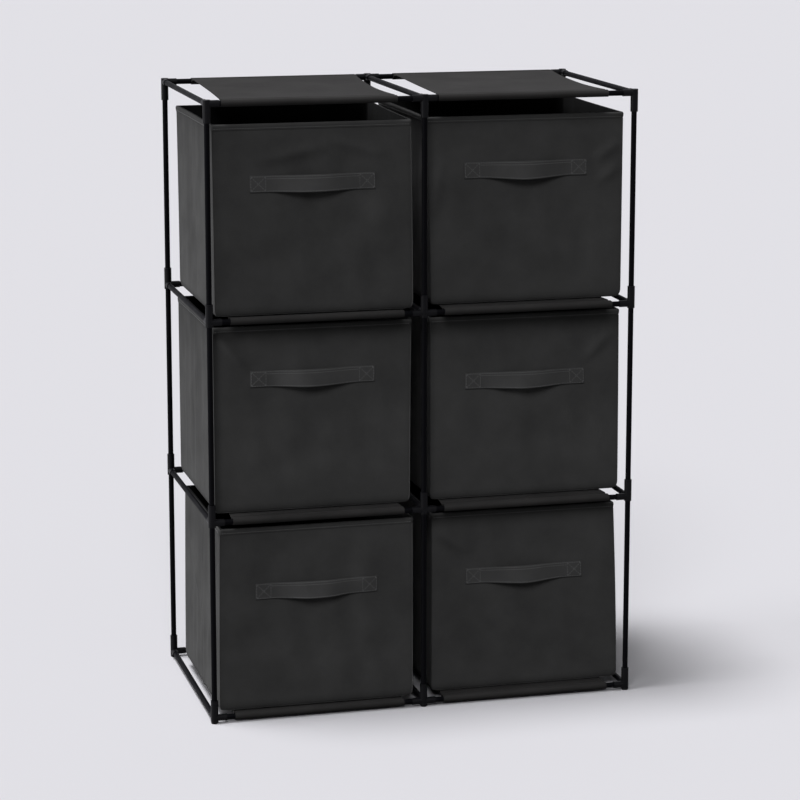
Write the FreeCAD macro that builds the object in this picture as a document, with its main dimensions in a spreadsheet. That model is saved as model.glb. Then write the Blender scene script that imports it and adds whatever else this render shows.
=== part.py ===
import FreeCAD, Part
import Sketcher
import os
import re
from math import atan, cos, sin

# Open rack of thin steel tubes pushed into plastic connectors, two bays wide and three tiers high.
# A cloth shelf is sleeved over the front and back rails of each bay at every level,
# and a lined cloth box with a strap handle stands in each bay.
# Sizes are in millimetres. X runs along the width, Y from front to back and Z up.
# The origin is on the floor, midway between the outer posts and between the front and back posts.

SIZES = [
    ("column_pitch", 317, "between the axes of neighbouring posts along the width"),
    ("depth_pitch", 340, "between the axes of the front and back posts"),
    ("tier_pitch", 294, "between the rail axes of the bottom and middle tiers"),
    ("tube_outer", 8, "outside of every tube"),
    ("tube_wall", 0.6, "sheet that the tubes are rolled from"),
    ("neck_reach", 18, "how far a post tube's neck goes into the tube above"),
    ("neck_play", 0.2, "between a neck and the bore around it, on the diameter"),
    ("socket_play", 0.1, "between a tube and its socket, on the diameter"),
    ("socket_floor", 2.95, "plastic between a rail's end and the post's bore"),
    ("stop_ledge", 3, "ring in a middle connector that both post tubes stop against"),
    ("post_sleeve_wall", 1.45, "plastic round a post tube"),
    ("post_sleeve_reach", 26, "from the rail axis to the mouth of an upward sleeve"),
    ("rail_sleeve_wall", 0.95, "plastic round a rail"),
    ("rail_sleeve_reach", 18, "from the post axis to the mouth of a rail sleeve"),
    ("hub_skirt", 1.5, "sleeve round the post below the rail sleeves"),
    ("cap_grip", 8, "how much of a post tube's full diameter the top cap holds"),
    ("cap_wall", 4, "plastic over the post's end in the top cap"),
    ("foot_height", 3.5, "foot below the bottom rail sleeves"),
    ("foot_taper", 1, "how far the foot draws in towards the floor, on the radius"),
    ("shelf_cloth", 0.9, "thickness of a shelf's cloth"),
    ("pocket_play", 0.1, "between a shelf's rail pocket and the rail"),
    ("pocket_seam", 12, "turned-in cloth sewn under the shelf beside each pocket"),
    ("shelf_end_gap", 12.5, "from a rail sleeve's mouth to the edge of a shelf"),
    ("box_side_gap", 6.5, "from the side of a box to the post sleeves"),
    ("box_head_gap", 8, "from the rim of a box to the shelf pocket above"),
    ("box_depth", 278, "from the front wall to the back wall of a box"),
    ("box_lift", 0.3, "clear height under a box"),
    ("left_box_shift", 2.5, "how far the left boxes stand left of the middle of their bay"),
    ("right_box_shift", 5.5, "how far the right boxes stand right of the middle of their bay"),
    ("setback_bottom_left", 9, "from the front rail axis to the front of that box"),
    ("setback_bottom_right", 22, "from the front rail axis to the front of that box"),
    ("setback_middle_left", 27, "from the front rail axis to the front of that box"),
    ("setback_middle_right", 30, "from the front rail axis to the front of that box"),
    ("setback_top_left", 9, "from the front rail axis to the front of that box"),
    ("setback_top_right", 30, "from the front rail axis to the front of that box"),
    ("cover_cloth", 0.8, "outer cloth of a box"),
    ("lining_cloth", 0.6, "inner cloth of a box"),
    ("wall_board", 2, "stiffening board in a box's walls"),
    ("fold_gap", 1, "between the two halves of a side board"),
    ("hem_height", 9, "sewn band round the rim"),
    ("hem_proud", 0.5, "how far the rim band stands out of the wall"),
    ("base_board", 3, "loose board on the floor of a box"),
    ("base_play", 1.5, "from the edge of the base board to the lining"),
    ("base_lift", 0.3, "clear height under the base board"),
    ("strap_length", 185, "handle from end to end, seen from the front"),
    ("strap_width", 24, "width of the handle's webbing"),
    ("strap_thick", 1.6, "thickness of the handle's webbing"),
    ("strap_sewn", 24, "stretch at each end that is sewn flat"),
    ("strap_bow", 12, "how far the middle of the handle stands off the wall"),
    ("strap_bend", 40, "radius where the webbing leaves the wall"),
    ("strap_drop_bottom_left", 97, "from the rim of that box to the middle of its handle"),
    ("strap_drop_bottom_right", 100, "from the rim of that box to the middle of its handle"),
    ("strap_drop_middle_left", 78, "from the rim of that box to the middle of its handle"),
    ("strap_drop_middle_right", 98, "from the rim of that box to the middle of its handle"),
    ("strap_drop_top_left", 86, "from the rim of that box to the middle of its handle"),
    ("strap_drop_top_right", 79, "from the rim of that box to the middle of its handle"),
]
NAMES = {name for name, size, note in SIZES}

X_AXIS = FreeCAD.Vector(1, 0, 0)
Y_AXIS = FreeCAD.Vector(0, 1, 0)
Z_AXIS = FreeCAD.Vector(0, 0, 1)
UPRIGHT = FreeCAD.Rotation()
ALONG_X = FreeCAD.Rotation(Y_AXIS, 90)
ALONG_Y = FreeCAD.Rotation(X_AXIS, -90)
AGAINST_X = FreeCAD.Rotation(Y_AXIS, -90)

# Formulas that several pieces share, in the names of the sheet
TUBE_RADIUS = "tube_outer / 2"
SOCKET_RADIUS = "(tube_outer + socket_play) / 2"
POST_SLEEVE_RADIUS = f"({SOCKET_RADIUS} + post_sleeve_wall)"
RAIL_SLEEVE_RADIUS = f"({SOCKET_RADIUS} + rail_sleeve_wall)"
RAIL_STOP = f"({SOCKET_RADIUS} + socket_floor)"
NECK_RADIUS = f"({TUBE_RADIUS} - tube_wall - neck_play / 2)"
NECK_SOCKET_RADIUS = f"({NECK_RADIUS} + socket_play / 2)"
HUB_DROP = f"({RAIL_SLEEVE_RADIUS} + hub_skirt)"
FOOT_DROP = f"({RAIL_SLEEVE_RADIUS} + foot_height)"
POCKET_BORE = f"({TUBE_RADIUS} + pocket_play)"
POCKET_RADIUS = f"({POCKET_BORE} + shelf_cloth)"
SHELF_WIDTH = "(column_pitch - 2 * (rail_sleeve_reach + shelf_end_gap))"
BOX_SEAT = f"(max({POCKET_RADIUS}; {RAIL_SLEEVE_RADIUS}) + box_lift)"
BOX_WIDTH = f"(column_pitch - 2 * ({POST_SLEEVE_RADIUS} + box_side_gap))"
BOX_HEIGHT = f"(tier_pitch - {BOX_SEAT} - {POCKET_RADIUS} - box_head_gap)"

# Height of the rail axes at each level; equal post tubes make the top tier taller by one neck
LEVELS = {
    "bottom": FOOT_DROP,
    "lower": f"{FOOT_DROP} + tier_pitch",
    "upper": f"{FOOT_DROP} + 2 * tier_pitch",
    "top": f"{FOOT_DROP} + 3 * tier_pitch + neck_reach",
}
COLUMNS = {"left": "-column_pitch", "middle": "0", "right": "column_pitch"}
ROWS = {"front": "-depth_pitch / 2", "back": "depth_pitch / 2"}
BAYS = {"left": "-column_pitch / 2", "right": "column_pitch / 2"}
BOX_SHIFTS = {"left": "-left_box_shift", "right": "right_box_shift"}
TIERS = {"bottom": "bottom", "middle": "lower", "top": "upper"}

doc = FreeCAD.newDocument("storage_rack")
sheet = doc.addObject("Spreadsheet::Sheet", "Sizes")
nodes = []


def fill_sheet():
    """Writes every driving size, its name and its note into the sheet."""
    for row, (name, size, note) in enumerate(SIZES, start=1):
        sheet.set(f"A{row}", name)
        sheet.set(f"B{row}", str(size))
        sheet.set(f"C{row}", note)
        sheet.setAlias(f"B{row}", name)
    doc.recompute()


def formula(text):
    """Turns a formula in plain size names into one that reads the sheet."""
    return re.sub(r"[a-z_]+", lambda word: f"Sizes.{word[0]}" if word[0] in NAMES else word[0], text)


def value(text):
    """Number that a formula gives with the sheet as it stands."""
    return float(sheet.evalExpression(formula(text)))


def place(thing, x="0", y="0", z="0", turn=UPRIGHT):
    """Turns an object and ties its place to the sheet."""
    thing.Placement = FreeCAD.Placement(FreeCAD.Vector(), turn)
    for axis, text in (("x", x), ("y", y), ("z", z)):
        thing.setExpression(f"Placement.Base.{axis}", formula(text))
    return thing


def block(name, width, depth, height, x="0", y="0", z="0"):
    """Box from its lowest corner."""
    thing = doc.addObject("Part::Box", name)
    for side, text in (("Length", width), ("Width", depth), ("Height", height)):
        thing.setExpression(side, formula(text))
    return place(thing, x, y, z)


def rod(name, radius, length, x="0", y="0", z="0", turn=UPRIGHT):
    """Cylinder that runs from its place along its own axis."""
    thing = doc.addObject("Part::Cylinder", name)
    thing.setExpression("Radius", formula(radius))
    thing.setExpression("Height", formula(length))
    return place(thing, x, y, z, turn)


def taper(name, start_radius, end_radius, length, z="0"):
    """Upright cone stump on the post's axis, from one radius to another."""
    thing = doc.addObject("Part::Cone", name)
    thing.setExpression("Radius1", formula(start_radius))
    thing.setExpression("Radius2", formula(end_radius))
    thing.setExpression("Height", formula(length))
    return place(thing, z=z)


def joined(name, pieces):
    """One solid from overlapping pieces."""
    thing = doc.addObject("Part::MultiFuse", name)
    thing.Shapes = pieces
    thing.Refine = True
    return thing


def cut(name, base, tools):
    """Base with the tools taken out of it."""
    thing = doc.addObject("Part::Cut", name)
    thing.Base = base
    thing.Tool = tools[0] if len(tools) == 1 else joined(f"{name}_tools", tools)
    thing.Refine = True
    return thing


def copy_of(original, name, x="0", y="0", z="0", turn=UPRIGHT):
    """Link to a piece that is used more than once, at its own place."""
    link = doc.addObject("App::Link", name)
    link.LinkedObject = original
    link.LinkTransform = True
    return place(link, x, y, z, turn)


def node(thing, label):
    """Names a finished sub-part, which is written to a file of that name."""
    thing.Label = label
    nodes.append(thing)


def group(label, pieces):
    """Sub-part of several like pieces that stay separate solids."""
    thing = doc.addObject("Part::Compound", label)
    thing.Links = pieces
    node(thing, label)


def sketch_in(body, name, role):
    """Empty sketch on one of a body's own origin planes."""
    sketch = body.newObject("Sketcher::SketchObject", name)
    plane = next(feature for feature in body.Origin.OriginFeatures if feature.Role == role)
    sketch.AttachmentSupport = [(plane, "")]
    sketch.MapMode = "FlatFace"
    return sketch


def rail_tube(name, length):
    """Straight tube: a ring padded to its length."""
    body = doc.addObject("PartDesign::Body", name)
    sketch = sketch_in(body, f"{name}_section", "XY_Plane")
    for diameter in ("tube_outer", "tube_outer - 2 * tube_wall"):
        circle = Part.Circle(FreeCAD.Vector(), Z_AXIS, value(diameter) / 2)
        ring = sketch.addGeometry(circle, False)
        sketch.addConstraint(Sketcher.Constraint("Coincident", ring, 3, -1, 1))
        row = sketch.addConstraint(Sketcher.Constraint("Diameter", ring, value(diameter)))
        sketch.setExpression(f"Constraints[{row}]", formula(diameter))
    pad = body.newObject("PartDesign::Pad", f"{name}_pad")
    pad.Profile = sketch
    pad.setExpression("Length", formula(length))
    return body


def post_tube():
    """Post tube with a swaged neck: the stepped section of its wall, turned about its axis."""
    body = doc.addObject("PartDesign::Body", "post_tube")
    sketch = sketch_in(body, "post_tube_section", "XZ_Plane")
    shoulder = "(tier_pitch - stop_ledge)"
    neck_end = "(tier_pitch + neck_reach)"
    step = f"({shoulder} - tube_wall)"
    bore = f"({TUBE_RADIUS} - tube_wall)"
    neck_bore = f"({NECK_RADIUS} - tube_wall)"
    corners = [
        (TUBE_RADIUS, "0"), (TUBE_RADIUS, shoulder), (NECK_RADIUS, shoulder), (NECK_RADIUS, neck_end),
        (neck_bore, neck_end), (neck_bore, step), (bore, step), (bore, "0"),
    ]
    points = [FreeCAD.Vector(value(x), value(y), 0) for x, y in corners]
    for start, end in zip(points, points[1:] + points[:1]):
        sketch.addGeometry(Part.LineSegment(start, end), False)
    for line, (x, y) in enumerate(corners):
        before = (line - 1) % len(corners)
        sketch.addConstraint(Sketcher.Constraint("Coincident", before, 2, line, 1))
        row = sketch.addConstraint(Sketcher.Constraint("DistanceX", -1, 1, line, 1, value(x)))
        sketch.setExpression(f"Constraints[{row}]", formula(x))
        if y == "0":
            sketch.addConstraint(Sketcher.Constraint("PointOnObject", line, 1, -1))
        else:
            row = sketch.addConstraint(Sketcher.Constraint("DistanceY", -1, 1, line, 1, value(y)))
            sketch.setExpression(f"Constraints[{row}]", formula(y))
    turned = body.newObject("PartDesign::Revolution", "post_tube_wall")
    turned.Profile = sketch
    turned.ReferenceAxis = (sketch, ["V_Axis"])
    turned.Angle = 360
    return body


def cap_sleeve(name):
    """Closed cap over the end of a post, with a downward sleeve and a step for the neck."""
    shoulder = "(neck_reach + stop_ledge / 2)"
    reach = f"({shoulder} + cap_grip)"
    top = "(stop_ledge / 2 + cap_wall)"
    solid = [rod(f"{name}_sleeve", POST_SLEEVE_RADIUS, f"{reach} + {top}", z=f"-{reach}")]
    sockets = [
        rod(f"{name}_socket", SOCKET_RADIUS, "cap_grip", z=f"-{reach}"),
        rod(f"{name}_neck_socket", NECK_SOCKET_RADIUS, f"{shoulder} + stop_ledge / 2", z=f"-{shoulder}"),
    ]
    return solid, sockets


def upward_sleeve(name):
    """Upward sleeve in which a post tube stands on the stop ledge."""
    solid = [rod(f"{name}_sleeve", POST_SLEEVE_RADIUS, f"{HUB_DROP} + post_sleeve_reach", z=f"-{HUB_DROP}")]
    depth = "post_sleeve_reach - stop_ledge / 2"
    sockets = [rod(f"{name}_socket", SOCKET_RADIUS, depth, z="stop_ledge / 2")]
    return solid, sockets


def joint_sleeve(name):
    """Sleeve between two tiers: the lower tube's neck passes through the ledge into the upper tube."""
    solid, sockets = upward_sleeve(name)
    depth = f"({HUB_DROP} - stop_ledge / 2)"
    sockets.append(rod(f"{name}_lower_socket", SOCKET_RADIUS, depth, z=f"-{HUB_DROP}"))
    sockets.append(rod(f"{name}_ledge_bore", NECK_SOCKET_RADIUS, "2 * stop_ledge", z="-stop_ledge"))
    return solid, sockets


def foot_sleeve(name):
    """Sleeve with a closed foot that draws in and stands on the floor."""
    solid, sockets = upward_sleeve(name)
    face = f"{POST_SLEEVE_RADIUS} - foot_taper"
    solid.append(taper(f"{name}_foot", face, POST_SLEEVE_RADIUS, "foot_height - hub_skirt", z=f"-{FOOT_DROP}"))
    return solid, sockets


def connector(name, make_sleeve, rails):
    """Moulded connector: the post's sleeve and one sleeve for each rail that meets it."""
    solid, sockets = make_sleeve(name)
    depth = f"rail_sleeve_reach - {RAIL_STOP}"
    for count, (turn, x, y) in enumerate(rails):
        solid.append(rod(f"{name}_rail_{count}", RAIL_SLEEVE_RADIUS, "rail_sleeve_reach", turn=turn))
        sockets.append(rod(f"{name}_rail_socket_{count}", SOCKET_RADIUS, depth, x, y, turn=turn))
    return cut(name, joined(f"{name}_solid", solid), sockets)


def make_connectors():
    """Six connectors at each level: four at the corners and two on the middle posts."""
    right = (ALONG_X, RAIL_STOP, "0")
    left = (AGAINST_X, f"-{RAIL_STOP}", "0")
    back = (ALONG_Y, "0", RAIL_STOP)
    sleeves = {"bottom": foot_sleeve, "lower": joint_sleeve, "upper": joint_sleeve, "top": cap_sleeve}
    corner_turns = {
        ("front", "left"): 0,
        ("front", "right"): 90,
        ("back", "right"): 180,
        ("back", "left"): 270,
    }
    middle_turns = {("front", "middle"): 0, ("back", "middle"): 180}
    kinds = {"corner": (corner_turns, [right, back]), "middle": (middle_turns, [right, left, back])}
    for kind, (turns, rails) in kinds.items():
        moulds = {make: connector(f"{kind}_{make.__name__}", make, rails) for make in sleeves.values()}
        for level, make in sleeves.items():
            label = f"{kind}_connectors_{level}"
            pieces = []
            for (row, column), degrees in turns.items():
                turn = FreeCAD.Rotation(Z_AXIS, degrees)
                name = f"{label}_{row}_{column}"
                pieces.append(copy_of(moulds[make], name, COLUMNS[column], ROWS[row], LEVELS[level], turn))
            group(label, pieces)


def make_rails():
    """Width and depth rails between the connectors of each level."""
    width_rail = rail_tube("width_rail", f"column_pitch - 2 * {RAIL_STOP}")
    depth_rail = rail_tube("depth_rail", f"depth_pitch - 2 * {RAIL_STOP}")
    for level, z in LEVELS.items():
        pieces = []
        for row, y in ROWS.items():
            for column in ("left", "middle"):
                name = f"width_rail_{level}_{row}_{column}"
                pieces.append(copy_of(width_rail, name, f"{COLUMNS[column]} + {RAIL_STOP}", y, z, ALONG_X))
        group(f"width_rails_{level}", pieces)
        pieces = []
        for column, x in COLUMNS.items():
            name = f"depth_rail_{level}_{column}"
            pieces.append(copy_of(depth_rail, name, x, f"{ROWS['front']} + {RAIL_STOP}", z, ALONG_Y))
        group(f"depth_rails_{level}", pieces)


def make_uprights():
    """Six posts of three equal tubes, each standing on the stop ledge of the connector below it."""
    tube = post_tube()
    for row, y in ROWS.items():
        for column, x in COLUMNS.items():
            label = f"upright_{row}_{column}"
            pieces = [
                copy_of(tube, f"{label}_{level}", x, y, f"{LEVELS[level]} + stop_ledge / 2")
                for level in TIERS.values()
            ]
            group(label, pieces)


def make_shelves():
    """Cloth shelves, each one sheet with a sewn pocket round its front and back rails."""
    left_edge = f"-{SHELF_WIDTH} / 2"
    front = ROWS["front"]
    pieces = [block("shelf_sheet", SHELF_WIDTH, "depth_pitch", "shelf_cloth", left_edge, front, POCKET_BORE)]
    bores = []
    seam = f"({TUBE_RADIUS} + pocket_seam)"
    seam_z = f"{POCKET_BORE} - shelf_cloth"
    seam_starts = {"front": front, "back": f"{ROWS['back']} - {seam}"}
    for row, y in ROWS.items():
        pieces.append(rod(f"shelf_pocket_{row}", POCKET_RADIUS, SHELF_WIDTH, left_edge, y, turn=ALONG_X))
        bores.append(rod(f"shelf_pocket_bore_{row}", POCKET_BORE, SHELF_WIDTH, left_edge, y, turn=ALONG_X))
        start = seam_starts[row]
        pieces.append(block(f"shelf_seam_{row}", SHELF_WIDTH, seam, "shelf_cloth", left_edge, start, seam_z))
    shelf = cut("shelf", joined("shelf_solid", pieces), bores)
    for level, z in LEVELS.items():
        for bay, x in BAYS.items():
            label = f"shelf_{level}_{bay}"
            node(copy_of(shelf, label, x, z=z), label)


def nested_block(name, inset, low, high):
    """Block of a box's plan, drawn in from its faces all round, between two heights."""
    width = f"({BOX_WIDTH} - 2 * ({inset}))"
    depth = f"(box_depth - 2 * ({inset}))"
    return block(name, width, depth, f"{high} - ({low})", f"-{width} / 2", inset, low)


def box_cover():
    """Outer cloth: floor and walls, with a proud sewn band round the rim."""
    walls = nested_block("cover_walls", "0", "0", BOX_HEIGHT)
    hem = nested_block("cover_hem", "-hem_proud", f"{BOX_HEIGHT} - hem_height", BOX_HEIGHT)
    room = nested_block("cover_room", "cover_cloth", "cover_cloth", BOX_HEIGHT)
    return cut("cover", joined("cover_solid", [walls, hem]), [room])


def box_lining():
    """Inner cloth, turned out over the tops of the boards to meet the cover."""
    board_face = "cover_cloth + wall_board"
    room_face = f"{board_face} + lining_cloth"
    walls = nested_block("lining_walls", board_face, "cover_cloth", BOX_HEIGHT)
    brim = nested_block("lining_brim", "cover_cloth", f"{BOX_HEIGHT} - lining_cloth", BOX_HEIGHT)
    room = nested_block("lining_room", room_face, "cover_cloth + lining_cloth", BOX_HEIGHT)
    return cut("lining", joined("lining_solid", [walls, brim]), [room])


def box_boards():
    """Boards between cover and lining; each side board is in two halves so that the box folds flat."""
    height = f"{BOX_HEIGHT} - lining_cloth - cover_cloth"
    wide = f"({BOX_WIDTH} - 2 * cover_cloth)"
    half = "((box_depth - 2 * (cover_cloth + wall_board) - fold_gap) / 2)"
    left_x = f"-{wide} / 2"
    right_x = f"{wide} / 2 - wall_board"
    front_y = "cover_cloth"
    back_y = "box_depth - cover_cloth - wall_board"
    boards = [
        block("front_board", wide, "wall_board", height, left_x, front_y, "cover_cloth"),
        block("back_board", wide, "wall_board", height, left_x, back_y, "cover_cloth"),
    ]
    for side, x in (("left", left_x), ("right", right_x)):
        for end, y in (("front", f"{front_y} + wall_board"), ("back", f"{back_y} - {half}")):
            boards.append(block(f"{side}_{end}_board", "wall_board", half, height, x, y, "cover_cloth"))
    thing = doc.addObject("Part::Compound", "boards")
    thing.Links = boards
    return thing


def box_base():
    """Loose base board on the floor of the lining."""
    edge = "cover_cloth + wall_board + lining_cloth + base_play"
    low = "(cover_cloth + lining_cloth + base_lift)"
    return nested_block("base", edge, low, f"{low} + base_board")


def box_handle():
    """Webbing strap that lies flat at its sewn ends and bows out between them on two pairs of arcs."""
    half, sewn, bow = value("strap_length / 2"), value("strap_sewn"), value("strap_bow")
    thick, width, bend = value("strap_thick"), value("strap_width"), value("strap_bend")
    span = half - sewn
    turn = 2 * atan(bow / span)

    def edge(out):
        """Edge of the strap that runs a given distance out from the face that lies on the wall."""
        def point(x, y):
            return FreeCAD.Vector(x, -y, 0)

        def on_bend(angle):
            return point(-span + (bend - out) * sin(angle), bend - (bend - out) * cos(angle))

        def mirrored(spot):
            return FreeCAD.Vector(-spot.x, spot.y, 0)

        end = point(-half, out)
        leave, swing, meet = on_bend(0), on_bend(turn / 2), on_bend(turn)
        crown = point(0, bow + out)
        return [
            Part.LineSegment(end, leave),
            Part.Arc(leave, swing, meet),
            Part.Arc(meet, crown, mirrored(meet)),
            Part.Arc(mirrored(meet), mirrored(swing), mirrored(leave)),
            Part.LineSegment(mirrored(leave), mirrored(end)),
        ]

    inner, outer = edge(0), edge(thick)
    ends = [
        Part.LineSegment(inner[0].StartPoint, outer[0].StartPoint),
        Part.LineSegment(inner[-1].EndPoint, outer[-1].EndPoint),
    ]
    outline = Part.Wire(Part.__sortEdges__([curve.toShape() for curve in inner + outer + ends]))
    strap = doc.addObject("Part::Feature", "handle")
    strap.Shape = Part.Face(outline).extrude(Z_AXIS * width)
    return place(strap, z="-strap_width / 2")


def make_boxes():
    """Six boxes, one in each bay, standing on the shelves at their own set-backs."""
    pieces = {
        "cover": box_cover(),
        "lining": box_lining(),
        "boards": box_boards(),
        "base": box_base(),
        "handle": box_handle(),
    }
    for tier, level in TIERS.items():
        for bay, middle in BAYS.items():
            x = f"{middle} + {BOX_SHIFTS[bay]}"
            y = f"{ROWS['front']} + setback_{tier}_{bay}"
            z = f"{LEVELS[level]} + {BOX_SEAT}"
            handle_z = f"{z} + {BOX_HEIGHT} - strap_drop_{tier}_{bay}"
            for name, piece in pieces.items():
                label = f"box_{tier}_{bay}_{name}"
                node(copy_of(piece, label, x, y, handle_z if name == "handle" else z), label)


def check_document():
    """Stops if any object failed to build or any sub-part has no sound shape."""
    for thing in doc.Objects:
        if "Invalid" in thing.State or "Error" in thing.State:
            raise RuntimeError(f"{thing.Label} failed to build")
    for thing in nodes:
        shape = Part.getShape(thing)
        if shape.isNull() or not shape.isValid():
            raise RuntimeError(f"{thing.Label} has no sound shape")


def write_parts():
    """Writes each sub-part to a file of its own name."""
    os.makedirs("parts", exist_ok=True)
    for thing in nodes:
        Part.getShape(thing).exportStep(f"parts/{thing.Label}.step")


fill_sheet()
make_uprights()
make_rails()
make_connectors()
make_shelves()
make_boxes()
doc.recompute()
check_document()
write_parts()
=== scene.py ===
"""Finish of a two-bay storage rack: cloth shelves, lined cloth boxes, strap handles, stitching and stage."""

import math

import bpy
from bpy.props import FloatProperty, FloatVectorProperty, IntProperty, PointerProperty
from mathutils import Euler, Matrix, Vector, geometry, noise


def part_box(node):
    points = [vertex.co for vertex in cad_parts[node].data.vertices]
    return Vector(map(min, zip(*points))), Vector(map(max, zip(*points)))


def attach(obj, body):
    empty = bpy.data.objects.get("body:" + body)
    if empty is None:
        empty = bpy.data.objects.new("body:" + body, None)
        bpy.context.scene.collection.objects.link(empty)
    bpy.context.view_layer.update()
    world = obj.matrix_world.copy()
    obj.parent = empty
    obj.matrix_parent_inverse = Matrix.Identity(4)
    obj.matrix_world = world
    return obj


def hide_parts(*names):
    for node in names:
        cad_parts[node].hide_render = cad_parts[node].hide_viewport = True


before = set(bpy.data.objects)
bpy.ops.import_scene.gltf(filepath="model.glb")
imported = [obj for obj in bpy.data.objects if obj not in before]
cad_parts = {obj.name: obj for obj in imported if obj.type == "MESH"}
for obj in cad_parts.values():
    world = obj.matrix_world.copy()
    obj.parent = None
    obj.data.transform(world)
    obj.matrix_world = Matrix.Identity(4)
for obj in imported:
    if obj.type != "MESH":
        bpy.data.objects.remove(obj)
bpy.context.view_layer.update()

bl_info = {
    "name": "Storage Rack Finish",
    "version": (1, 0, 0),
    "blender": (4, 5, 0),
    "location": "3D View > Sidebar > Rack",
    "description": "Dresses a tube rack with cloth shelves and six lined cloth boxes",
    "category": "Object",
}

MM = 0.001
TOUCH = 0.01 * MM
LEVELS = ("bottom", "lower", "upper", "top")
TIERS = ("bottom", "middle", "top")
BAYS = ("left", "right")
BOXES = [(tier, bay) for tier in TIERS for bay in BAYS]
SMOOTH_UNDER = math.radians(40)

# How each box has settled, from bottom left to top right
LEAN_LEFT = (3 * MM, 0, 0, -1 * MM, -1.5 * MM, -8 * MM)
LEAN_RIGHT = (0.5 * MM, 9 * MM, -2 * MM, 2 * MM, 3.5 * MM, 0)
SPLAY = (0, 0, 0, 0, 8 * MM, 0)
RIM_BOW = (2 * MM, 2 * MM, 1 * MM, 2 * MM, 1 * MM, 2 * MM)
BASE_SHIFT = (1.5 * MM, -4 * MM, 0.5 * MM, -2 * MM, -1 * MM, -1.5 * MM)
STRAP_DIP = (1 * MM, 1.5 * MM, 1 * MM, 1 * MM, 0.5 * MM, 2.5 * MM)

# Pulled creases in the covers: box, wall, and both ends as shares of the wall's half width and height
CREASES = (
    (0, "left", (0.95, 0.92), (-0.15, 0.35)),
    (1, "front", (-0.95, 0.9), (-0.55, 0.76)),
    (2, "front", (-0.96, 0.95), (-0.62, 0.76)),
    (3, "front", (0.6, 0.72), (0.96, 0.9)),
    (4, "front", (-0.6, 0.8), (0.2, 0.88)),
    (4, "front", (0.1, 0.92), (0.75, 0.82)),
    (5, "front", (0.7, 0.74), (0.97, 0.85)),
    (5, "front", (0.72, 0.62), (0.97, 0.72)),
    (5, "front", (-0.97, 0.45), (-0.85, 0.8)),
)

# Shares at which extra cuts let a mesh follow a sewn groove, a fold line, the rolled rim or the foot
GROOVE_CUTS = (-2, -1.2, -0.6, 0, 0.6, 1.2, 2)
FOLD_CUTS = (-2, -1, -0.5, 0, 0.5, 1, 2)
HEM_CUTS = (0.06, 0.15, 0.25, 0.37, 0.55, 0.75)
FOOT_CUTS = (0.3, 0.4, 0.5, 0.6, 0.8, 1)
BOARD_FOOT_CUTS = (0.15, 0.3, 0.45, 0.6, 0.8, 1)

# Forms of the cloth: the rim's shoulder and fullness, the pinched seam, and how a wall's lean and bow grow
HEM_SHOULDER = 0.15
HEM_FULLNESS = 0.7
WELT_ARC = math.radians(9)
WELT_ON_SIDES = 0.3
LEAN_POWER = 1.5
BOW_POWER = 3
LAYERED = 1.1

# Fineness of the small meshes, and how many times coarser the boards' grid is than the cloth's
POCKET_STEPS = 14
STITCH_RINGS = 4
STRAP_ROWS = 8
BOARD_GRID = 3

# Steps between the noise of one shelf or box and the next, so that no two wrinkle alike
SHELF_SEED = 7.3
BOX_SEED = 31.7

# Middle part of a noise's range, and the sockets of a colour mix
NOISE_RANGE = (0.3, 0.7)
MIX_SHARE, MIX_FIRST, MIX_SECOND, MIX_COLOUR = 0, 6, 7, 2


def box_size(node):
    """Width, depth and height of a node."""
    low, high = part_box(node)
    return high - low


def length(name, description, default):
    """Property for a length in metres."""
    return FloatProperty(name=name, description=description, default=default, unit="LENGTH", precision=5)


def number(name, description, default):
    """Property for a plain number."""
    return FloatProperty(name=name, description=description, default=default)


def each_box(name, description, default):
    """Property with one length for each box, from bottom left to top right."""
    text = f"{description}, one value per box from bottom left to top right"
    return FloatVectorProperty(name=name, description=text, default=default, size=len(BOXES), unit="LENGTH")


def angle(name, description, degrees):
    """Property for an angle, given in degrees."""
    return FloatProperty(name=name, description=description, default=math.radians(degrees), subtype="ANGLE")


def colour(name, description, default):
    """Property for a colour, as linear red, green and blue."""
    return FloatVectorProperty(
        name=name, description=description, default=default, subtype="COLOR", min=0, max=1
    )


class RackColours(bpy.types.PropertyGroup):
    """Colours of the finishes."""

    tube: colour("Tube", "Powder coat of the steel tubes", (0.0035, 0.0035, 0.0045))
    connector: colour("Connector", "Moulded plastic of the connectors", (0.0042, 0.0042, 0.0052))
    shelf: colour("Shelf cloth", "Non-woven cloth of the shelves", (0.036, 0.035, 0.035))
    cover: colour("Box cloth", "Non-woven cloth outside the boxes", (0.071, 0.071, 0.0715))
    # The lining's colour is darkened far below the cover's cloth as painted shade for the dark insides of
    # the boxes
    lining: colour("Lining", "Non-woven cloth inside the boxes", (0.010, 0.010, 0.0103))
    strap: colour("Strap", "Folded cloth of the handles", (0.080, 0.080, 0.081))
    thread: colour("Thread", "Sewing thread", (0.15, 0.15, 0.152))
    board: colour("Board", "Stiffening board in the walls", (0.26, 0.21, 0.15))
    floor: colour("Floor", "Pale studio floor and backdrop", (0.765, 0.758, 0.80))
    bounce: colour("Bounce", "Floor as it throws light back up on the rack", (0.10, 0.10, 0.10))


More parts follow.
